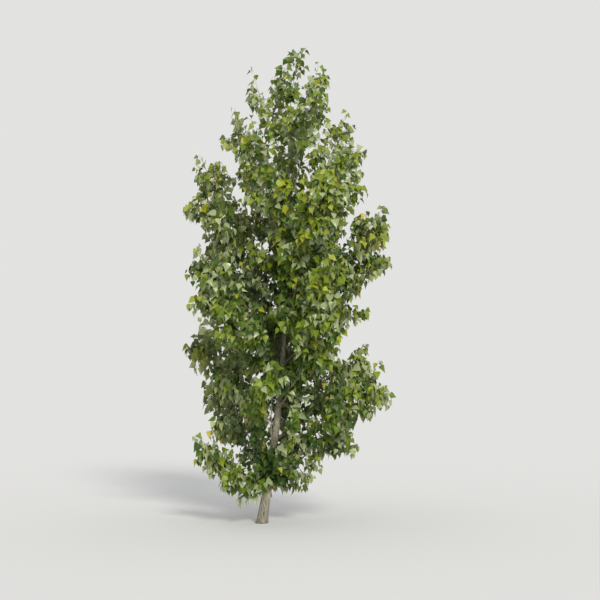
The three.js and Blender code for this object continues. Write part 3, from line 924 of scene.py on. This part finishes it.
# Trunk: rings of points that crowd towards the foot. Each branch stands on a swelling, with a
# dark ridge of bark drooping to both sides above it. But for the ridge's thickness, their sizes
# are shares of the swelling's width, and that of the branch's radius. Twigs that were shed have
# left small eyes, each a dark spot in a raised ring, sized by its radius.
TRUNK_SIDES = 72
TRUNK_RINGS = 900
RING_CROWDING = 1.25
SWELLING_FROM = 0.1
SWELLING_WIDTH = 2.2
SWELLING_HEIGHT = 1.3
SWELLING_DROP = 0.4
SWELLING_LIFT = 0.16
RIDGE_ABOVE = 0.9
RIDGE_DROOP = 0.9
RIDGE_THICKNESS = 0.0045
RIDGE_REACH = 1.5
EYE_SEED = 77
EYE_COUNT = 34
EYE_HEIGHTS = (0.35, 4.6)
EYE_RADII = (0.007, 0.013)
EYE_WIDENING = 1.7
EYE_RING_LIFT = 0.35
EYE_RING_WIDTH = 0.5
EYE_DARKNESS = 0.9
EYE_SPOT = 0.8
EYE_SPOT_POWER = 4
# The bark's age, greatest at the foot: it deepens the fissures there and darkens the bark's colour, as
# weathering and as painted shade
TRUNK_AGES = (0.22, 1.0)
TRUNK_AGE_HEIGHT = 0.5

# Boughs: rings of points from inside the trunk, with a slight knob every 0.1 m or so
BOUGH_SIDES = 18
BOUGH_RINGS = 8
BOUGH_RING_SPACING = 0.008
BOUGH_AGE = 0.3
KNOB_LIFT = 0.05
KNOB_WAVES = 61
KNOB_FADE = 0.6


def trunk_surface():
    """The trunk's rings of points, with the age of the bark and its scars at each point."""
    angle = np.linspace(0, 2 * np.pi, TRUNK_SIDES, endpoint=False)[None]
    height = (TRUNK_TOP * np.linspace(0, 1, TRUNK_RINGS) ** RING_CROWDING)[:, None]
    radius = trunk_radius(height) + flare_radius(height, angle)
    scar = np.zeros_like(radius)

    def sideways_of(heading):
        return ((angle - heading + np.pi) % (2 * np.pi) - np.pi) * trunk_radius(height)

    for wood in branches:
        wide = SWELLING_WIDTH * radius_at(wood, SWELLING_FROM)
        sideways = sideways_of(math.atan2(-wood.side[0], wood.side[1]))
        upwards = height - wood.height - trunk_radius(wood.height)
        swelling = np.exp(-(sideways / wide) ** 2
                          - ((upwards + SWELLING_DROP * wide) / (SWELLING_HEIGHT * wide)) ** 2)
        radius = radius + SWELLING_LIFT * wide * swelling
        above_ridge = (upwards - RIDGE_ABOVE * wide) + RIDGE_DROOP * np.abs(sideways)
        ridge = np.exp(-(above_ridge / RIDGE_THICKNESS) ** 2)
        scar = np.maximum(scar, ridge * (np.abs(sideways) < RIDGE_REACH * wide))
    draw = seeded(EYE_SEED)
    for _ in range(EYE_COUNT):
        eye_height = mix(*EYE_HEIGHTS, draw())
        sideways = sideways_of(2 * math.pi * draw())
        eye = mix(*EYE_RADII, draw())
        reach = np.hypot(sideways / (EYE_WIDENING * eye), (height - eye_height) / eye)
        radius = radius + EYE_RING_LIFT * eye * np.exp(-((reach - 1) / EYE_RING_WIDTH) ** 2)
        scar = np.maximum(scar, EYE_DARKNESS * np.exp(-(reach / EYE_SPOT) ** EYE_SPOT_POWER))
    ring = np.stack([np.cos(angle), np.sin(angle), 0 * angle], -1)
    rings = trunk_at(height[:, 0])[:, None] + ring * radius[..., None]
    age = np.broadcast_to(mix(*TRUNK_AGES, np.exp(-height / TRUNK_AGE_HEIGHT)), radius.shape)
    return rings, age, scar


def bough_surface(wood):
    """Rings of points along a bough, from inside the trunk to where its foliage begins."""
    stops = np.linspace(trunk_radius(wood.height) / 2, wood.bare,
                        max(BOUGH_RINGS, int(wood.bare / BOUGH_RING_SPACING)))
    line = smooth_point_at(wood, stops)
    across, over = cross_at(wood, unit(np.gradient(line, axis=0)))
    turn = np.linspace(0, 2 * np.pi, BOUGH_SIDES, endpoint=False)[None, :, None]
    knobs = 1 + KNOB_LIFT * np.sin(KNOB_WAVES * stops + wood.seed) * np.exp(-stops / KNOB_FADE)
    radius = (radius_at(wood, stops) * knobs)[:, None, None]
    return line[:, None] + radius * (across[:, None] * np.cos(turn) + over[:, None] * np.sin(turn))


def with_end_points(rings):
    """A tube's values, ring by ring, and after them the means of its first and its last ring."""
    values = rings.reshape(-1, *rings.shape[2:])
    return np.concatenate([values, rings[:1].mean(1), rings[-1:].mean(1)])


def tubes(rings_of_tubes):
    """Points and faces of closed tubes, each given as an array of rings of points."""
    points, faces = [], []
    for rings in rings_of_tubes:
        first, (count, sides) = sum(map(len, points)), rings.shape[:2]
        ring, side = np.meshgrid(np.arange(count - 1), np.arange(sides), indexing="ij")
        a = first + ring * sides + side
        b = first + ring * sides + (side + 1) % sides
        faces += np.stack([a, b, b + sides, a + sides], -1).reshape(-1, 4).tolist()
        low, high = first + count * sides, first + count * sides + 1
        around = np.arange(sides)
        faces += np.stack([np.full(sides, low), first + (around + 1) % sides, first + around], 1).tolist()
        last = first + (count - 1) * sides
        faces += np.stack([np.full(sides, high), last + around, last + (around + 1) % sides], 1).tolist()
        points.append(with_end_points(rings))
    return np.concatenate(points), faces


# Relief: the fissures are drawn out upwards, and a dash fades out from its middle to its edge.
# No point goes below the ground, however far out it is.
FISSURE_FLATNESS = 0.16
FISSURE_EDGE = (0.5, 0.36)
RAISED_DASH_EDGE = (0.3, 0.12)
BOUGH_FISSURE_DEPTH = 0.002
FAR = 99


def bark_relief():
    """Cuts fissures where the bark is old, raises corky dashes, and marks crevices and scars."""
    tree, given = new_tree("bark_relief", {
        "Fissure Depth": ("Float", 0.0024), "Fissure Spacing": ("Float", 0.012),
        "Dash Height": ("Float", 0.0008), "Seed": ("Float", 3.0), "Bark": ("Material", None)})
    place = add(tree, "GeometryNodeInputPosition")
    old = add(tree, "GeometryNodeInputNamedAttribute", {"Name": "age"}, data_type="FLOAT")
    marks = add(tree, "GeometryNodeInputNamedAttribute", {"Name": "scar"}, data_type="FLOAT")
    drawn_out = add(tree, "ShaderNodeVectorMath", {0: place, 1: (1, 1, FISSURE_FLATNESS)},
                    operation="MULTIPLY")
    pitch = add(tree, "ShaderNodeMath", {0: 1.0, 1: given["Fissure Spacing"]}, operation="DIVIDE")
    weave = add(tree, "ShaderNodeTexNoise",
                {"Vector": drawn_out, "W": given["Seed"], "Scale": pitch, "Detail": 3.0},
                noise_dimensions="4D")
    groove = add(tree, "ShaderNodeMapRange",
                 {"Value": weave.outputs[0], "From Min": FISSURE_EDGE[0],
                  "From Max": FISSURE_EDGE[1], "To Min": 0.0, "To Max": 1.0})
    aged_and_shaded = add(tree, "ShaderNodeMath", {0: groove, 1: old}, operation="MULTIPLY")
    depth = add(tree, "ShaderNodeMath", {0: aged_and_shaded, 1: given["Fissure Depth"]}, operation="MULTIPLY")
    flat = add(tree, "ShaderNodeVectorMath", {0: place, 1: (1, 1, DASH_FLATNESS)},
               operation="MULTIPLY")
    cells = add(tree, "ShaderNodeTexVoronoi", {"Vector": flat, "Scale": 1000 / DASH_SPACING_MM})
    dash = add(tree, "ShaderNodeMapRange",
               {"Value": cells.outputs["Distance"], "From Min": RAISED_DASH_EDGE[0],
                "From Max": RAISED_DASH_EDGE[1]})
    raised = add(tree, "ShaderNodeMath", {0: dash, 1: given["Dash Height"]}, operation="MULTIPLY")
    lift = add(tree, "ShaderNodeMath", {0: raised, 1: depth}, operation="SUBTRACT")
    offset = add(tree, "ShaderNodeVectorMath",
                 {0: add(tree, "GeometryNodeInputNormal"), "Scale": lift}, operation="SCALE")
    moved = add(tree, "ShaderNodeVectorMath", {0: place, 1: offset}, operation="ADD")
    above_ground = add(tree, "ShaderNodeVectorMath", {0: moved, 1: (-FAR, -FAR, 0)},
                       operation="MAXIMUM")
    # Crevice darkness: in the fissures partly painted shade, and the scars' own dark marks
    fissure_shade_and_scars = add(tree, "ShaderNodeMath", {0: aged_and_shaded, 1: marks}, operation="MAXIMUM")
    marked = add(tree, "GeometryNodeStoreNamedAttribute",
                 {"Geometry": given["Geometry"], "Name": "crevice", "Value": fissure_shade_and_scars},
                 data_type="FLOAT")
    shaped = add(tree, "GeometryNodeSetPosition", {"Geometry": marked, "Position": above_ground})
    return end_tree(tree, shaped, given["Bark"])


trunk_bark = bark_material("poplar_bark_smooth_grey_tan", ("#807c68", "#aaa791", "#c6c3af"),
                           "#6a655a", "#474239", 30, 0.82)
bough_bark = bark_material("poplar_bark_young_olive_grey", ("#75725a", "#999679", "#b3af96"),
                           "#6f6a57", "#443f33", 18, 0.74)
shoot_bark = bark_material("poplar_shoot_olive_brown", ("#5d5a3c", "#7b7650", "#8f8862"),
                           "#5d5a3c", "#3f3a28", 9, 0.6)

relief = bark_relief()
rings, age, scar = trunk_surface()
points, faces = tubes([rings])
make_piece("trunk_bark", mesh_of("trunk_bark", points, (), faces, {
    "age": ("FLOAT", with_end_points(age)), "scar": ("FLOAT", with_end_points(scar))}),
    relief, {"Bark": trunk_bark}, ["trunk"])
points, faces = tubes([bough_surface(wood) for wood in branches])
make_piece("bough_bark", mesh_of("bough_bark", points, (), faces, {
    "age": ("FLOAT", np.full(len(points), BOUGH_AGE)), "scar": ("FLOAT", np.zeros(len(points)))}),
    relief, {"Bark": bough_bark, "Fissure Depth": BOUGH_FISSURE_DEPTH, "Seed": 5.0},
    [name for name in frame["nodes"] if name.startswith("bough_")])

# Stems, twigs and stalks. A stem without a bough starts this share of the trunk's radius out.
STEM_ROOT = 0.6
STEM_POINTS = 6
STEM_POINT_SPACING = 0.05
foliage_nodes = [name for name in frame["nodes"] if name.startswith(("foliage_", "side_shoot_"))]


def round_wood():
    """Makes lines round, as thick as the radius at each of their points."""
    tree, given = new_tree("round_wood", {"Sides": ("Int", 6), "Wood": ("Material", None)})
    lines = add(tree, "GeometryNodeMeshToCurve", {"Mesh": given["Geometry"]})
    thick = add(tree, "GeometryNodeInputNamedAttribute", {"Name": "radius"}, data_type="FLOAT")
    sized = add(tree, "GeometryNodeSetCurveRadius", {"Curve": lines, "Radius": thick})
    section = add(tree, "GeometryNodeCurvePrimitiveCircle",
                  {"Resolution": given["Sides"], "Radius": 1.0})
    tube = add(tree, "GeometryNodeCurveToMesh",
               {"Curve": sized, "Profile Curve": section, "Fill Caps": True})
    # Where this node has a Scale input, it goes by that and not by the curve's radius
    if "Scale" in tube.inputs:
        tree.links.new(thick.outputs["Attribute"], tube.inputs["Scale"])
    return end_tree(tree, tube, given["Wood"])


def lines_mesh(name, paths, radii):
    """Open lines as a mesh of edges, with a radius at each point."""
    counts = [len(path) for path in paths]
    ends = np.cumsum(counts)
    edges = np.stack([np.arange(ends[-1] - 1), np.arange(1, ends[-1])], 1)
    edges = np.delete(edges, ends[:-1] - 1, axis=0)
    return mesh_of(name, np.concatenate(paths), edges.tolist(), (),
                   {"radius": ("FLOAT", np.concatenate(radii))})


def stem(wood):
    """The points and the radii of a mass's stem, from its bough, or the trunk, to its tip."""
    first = wood.bare or STEM_ROOT * trunk_radius(wood.height)
    stops = np.linspace(first, wood.length,
                        max(STEM_POINTS, int((wood.length - first) / STEM_POINT_SPACING)))
    share = (stops - first) / (wood.length - first)
    return smooth_point_at(wood, stops), mix(radius_at(wood, stops), STEM_TIP_RADIUS, share)


def budded(shoot):
    """The points and the radii of a twig or sprig, which ends in a pointed bud."""
    bud = shoot.points[-1] + np.outer(BUD_STATIONS, unit(shoot.points[-1] - shoot.points[-2]))
    radii = (*mix(*shoot.radii, np.linspace(0, 1, TWIG_POINTS)), *BUD_RADII)
    return np.concatenate([shoot.points, bud]), radii


wood_tree = round_wood()
make_piece("foliage_stems", lines_mesh("foliage_stems", *zip(*map(stem, limbs))), wood_tree,
           {"Sides": 10, "Wood": bough_bark}, foliage_nodes)
make_piece("twigs", lines_mesh("twigs", *zip(*map(budded, twigs + sprigs))), wood_tree,
           {"Sides": 4, "Wood": shoot_bark}, foliage_nodes)
stalk_material = leaf_material("leaf_stalk_yellow_green", ("#8f9448", "#a9a855"), "#b5b163", 0.5, 0.3, 0)
kept = np.flatnonzero(room)
stalks = np.stack([root[kept], base[kept] + STALK_INTO_BLADE * along[kept]], 1)
stalk_radii = np.full(stalks.shape[:2], STALK_RADIUS)
make_piece("leaf_stalks", lines_mesh("leaf_stalks", stalks, stalk_radii), wood_tree,
           {"Sides": 3, "Wood": stalk_material}, foliage_nodes)

# Leaves


def leaf_blade(name, fold, curl, wave, skew):
    """A closed blade one unit long: two faces that meet at the outline, thick at the midrib."""
    share, half = np.transpose(LEAF_STATIONS)
    bend = -curl * share**2
    ripple = wave * np.array(LEAF_RIPPLE)
    left = np.stack([share, half, bend + fold * half + ripple], 1)
    right = np.stack([share + skew * half, -half, bend + fold * half - ripple], 1)
    rib = np.stack([share, 0 * share, bend], 1)
    lift = np.array((0, 0, LEAF_THICKNESS / 2))
    points = np.concatenate([[(0, 0, 0), (1, 0, -curl)], left, right, rib + lift, rib - lift])
    count = len(share)
    left, right, top, low = (2 + k * count + np.arange(count) for k in range(4))
    faces = []
    for rib in (top, low):
        for edge in (left, right):
            half_blade = [(0, rib[0], edge[0]), (1, edge[-1], rib[-1])]
            for k in range(count - 1):
                half_blade += [(rib[k], rib[k + 1], edge[k]), (rib[k + 1], edge[k + 1], edge[k])]
            turned = (rib is top) != (edge is left)
            faces += [face[::-1] if turned else face for face in half_blade]
    mesh = mesh_of(name, points, (), faces)
    under = mesh.attributes.new("underside", "BOOLEAN", "FACE")
    under.data.foreach_set("value", np.arange(len(faces)) >= len(faces) // 2)
    uv = mesh.uv_layers.new(name="blade")
    corners = np.array([loop.vertex_index for loop in mesh.loops])
    uv.uv.foreach_set("vector", points[corners][:, :2].ravel())
    mesh.shade_smooth()
    outline = set(range(2 + 2 * count))
    sharp = mesh.attributes.new("sharp_edge", "BOOLEAN", "EDGE")
    sharp.data.foreach_set("value", [set(edge.vertices) <= outline for edge in mesh.edges])
    return bpy.data.objects.new(name, mesh)


def leaf_sprays():
    """Hangs one of the leaf kinds on each point, by its size and turn, with an upper and an underside."""
    tree, given = new_tree("leaf_sprays", {
        "Leaf Kinds": ("Collection", None), "Leaf Length": ("Float", LEAF_LENGTH),
        "Length Scatter": ("Float", 0.06), "Seed": ("Int", 4),
        "Upper Face": ("Material", None), "Underside": ("Material", None)})
    kinds = add(tree, "GeometryNodeCollectionInfo",
                {"Collection": given["Leaf Kinds"], "Separate Children": True,
                 "Reset Children": True})
    pick = add(tree, "FunctionNodeRandomValue",
               {"Min": 0, "Max": LEAF_KINDS - 1, "Seed": given["Seed"]}, data_type="INT")
    least = add(tree, "ShaderNodeMath", {0: 1.0, 1: given["Length Scatter"]}, operation="SUBTRACT")
    most = add(tree, "ShaderNodeMath", {0: 1.0, 1: given["Length Scatter"]}, operation="ADD")
    spread = add(tree, "FunctionNodeRandomValue",
                 {"Min": least, "Max": most, "Seed": given["Seed"]}, data_type="FLOAT")
    own_size = add(tree, "GeometryNodeInputNamedAttribute", {"Name": "size"}, data_type="FLOAT")
    turn = add(tree, "GeometryNodeInputNamedAttribute", {"Name": "turn"}, data_type="QUATERNION")
    varied = add(tree, "ShaderNodeMath", {0: own_size, 1: spread}, operation="MULTIPLY")
    scale = add(tree, "ShaderNodeMath", {0: varied, 1: given["Leaf Length"]}, operation="MULTIPLY")
    hung = add(tree, "GeometryNodeInstanceOnPoints",
               {"Points": given["Geometry"], "Instance": kinds, "Pick Instance": True,
                "Instance Index": pick, "Rotation": turn, "Scale": scale})
    whole = add(tree, "GeometryNodeRealizeInstances", {"Geometry": hung})
    upper = add(tree, "GeometryNodeSetMaterial", {"Geometry": whole, "Material": given["Upper Face"]})
    below = add(tree, "GeometryNodeInputNamedAttribute", {"Name": "underside"}, data_type="BOOLEAN")
    lower = add(tree, "GeometryNodeSetMaterial",
                {"Geometry": upper, "Selection": below, "Material": given["Underside"]})
    add(tree, "NodeGroupOutput", {"Geometry": lower})
    return tree


# Each tint's upper face, from its darker to its lighter tone, its underside, and how rough and
# how shiny the upper face is and how much its veins show
# The underside tones are paler, in part as painted light that shines through the blade
LEAF_TONES = {
    # The shaded and deep tones are painted shade, in part also the deeper green of inner leaves
    "shaded": (("#2b4416", "#38541d"), ("#5b7048", "#687d53"), 0.42, 0.25, 0.14),
    "deep": (("#4b6317", "#5a741e"), ("#7a8853", "#87955e"), 0.4, 0.25, 0.2),
    "mature": (("#677b18", "#778920"), ("#8b9664", "#98a370"), 0.38, 0.3, 0.3),
    "fresh": (("#868e16", "#959b1f"), ("#9ba14a", "#a8ad56"), 0.42, 0.3, 0.35),
    # Pale, with a painted sheen over the leaf's own bloom
    "waxy": (("#849262", "#97a578"), ("#a4ac7e", "#b1b98c"), 0.28, 0.5, 0.35),
    "young": (("#7f7f22", "#8e8b2b"), ("#9a9846", "#a5a050"), 0.4, 0.3, 0.35),
    "yellow": (("#bda72f", "#cbb63c"), ("#c2b45c", "#ccbf68"), 0.5, 0.3, 0.35),
}
UPPER_VEIN = "#a9b46a"
UNDER_VEIN = "#c3c992"
UNDER_FINISH = (0.62, 0.2, 0.4)

leaf_kinds = bpy.data.collections.new("leaf_kinds")
draw = seeded(LEAF_KIND_SEED)
for number in range(LEAF_KINDS):
    shape = [mix(*span, draw()) for span in (FOLDS, CURLS, WAVES, SKEWS)]
    leaf_kinds.objects.link(leaf_blade(f"leaf_kind_{number}", *shape))
leaf_tree = leaf_sprays()
for number, name in enumerate(TINTS):
    chosen = np.flatnonzero(room & (tint == number))
    turns = [Matrix(axes).transposed().to_quaternion()
             for axes in np.stack([along[chosen], across[chosen], normal[chosen]], 1)]
    spots = mesh_of("leaves_" + name, base[chosen], (), (), {
        "size": ("FLOAT", size[chosen]), "turn": ("QUATERNION", np.array(turns))})
    upper_tones, under_tones, *upper_finish = LEAF_TONES[name]
    make_piece("leaves_" + name, spots, leaf_tree, {
        "Leaf Kinds": leaf_kinds,
        "Upper Face": leaf_material("poplar_leaf_upper_" + name, upper_tones, UPPER_VEIN, *upper_finish),
        "Underside": leaf_material("poplar_leaf_underside_" + name, under_tones, UNDER_VEIN,
                                   *UNDER_FINISH),
    }, foliage_nodes)
for kind in list(leaf_kinds.objects):
    bpy.data.objects.remove(kind)
bpy.data.collections.remove(leaf_kinds)

# Floor: one wide pale disc, dead matt, so that it runs into the background without an edge
FLOOR_RADIUS = 60
FLOOR_SIDES = 64
FLOOR_TONE = "#d4d5d7"

turns = np.linspace(0, 2 * np.pi, FLOOR_SIDES, endpoint=False)
rim = [(FLOOR_RADIUS * math.cos(turn), FLOOR_RADIUS * math.sin(turn), 0) for turn in turns]
floor_mesh = mesh_of("floor", rim, (), [range(FLOOR_SIDES)])
floor = new_object("floor", floor_mesh)
floor_material, _, floor_surface = new_material("studio_floor_pale_matt")
floor_surface.inputs["Base Color"].default_value = linear(FLOOR_TONE)
floor_surface.inputs["Roughness"].default_value = 1
floor_surface.inputs["Specular IOR Level"].default_value = 0
floor_mesh.materials.append(floor_material)

# Light: a pale world all round, and one soft sun from behind the camera's right shoulder
WORLD_TONE = "#f2f2f0"
WORLD_STRENGTH = 0.86
SUN_TRAVEL = (-0.3, 0.83, -0.52)
SUN_STRENGTH = 2.45
SUN_SOFTNESS = math.radians(16)
SUN_TONE = "#fffaf0"

world = bpy.data.worlds.new("soft_studio")
bpy.context.scene.world = world
world.use_nodes = True
background = world.node_tree.nodes["Background"]
background.inputs["Color"].default_value = linear(WORLD_TONE)
background.inputs["Strength"].default_value = WORLD_STRENGTH
bpy.context.scene.view_settings.view_transform = "Standard"

lamp = bpy.data.lights.new("key_light", "SUN")
lamp.energy, lamp.angle, lamp.color = SUN_STRENGTH, SUN_SOFTNESS, linear(SUN_TONE)[:3]
key_light = new_object("key_light", lamp)
key_light.rotation_euler = Vector(SUN_TRAVEL).to_track_quat("-Z", "Y").to_euler()

# Camera: at the height of a standing photographer's eyes, nearly twice the tree's height away
# and tipped up a little. Lens and sensor are in millimetres.
EYE_LEVEL = 1.6
CAMERA_DISTANCE = 11.714
CAMERA_ASIDE = 0.504
CAMERA_TILT = math.radians(96.52)
LENS = 52.5
SENSOR_WIDTH = 36

camera = new_object("camera", bpy.data.cameras.new("camera"))
camera.location = (CAMERA_ASIDE, -CAMERA_DISTANCE, EYE_LEVEL)
camera.rotation_euler = (CAMERA_TILT, 0, 0)
camera.data.lens, camera.data.sensor_width = LENS, SENSOR_WIDTH
camera.data.clip_end = 5 * FLOOR_RADIUS
bpy.context.scene.camera = camera
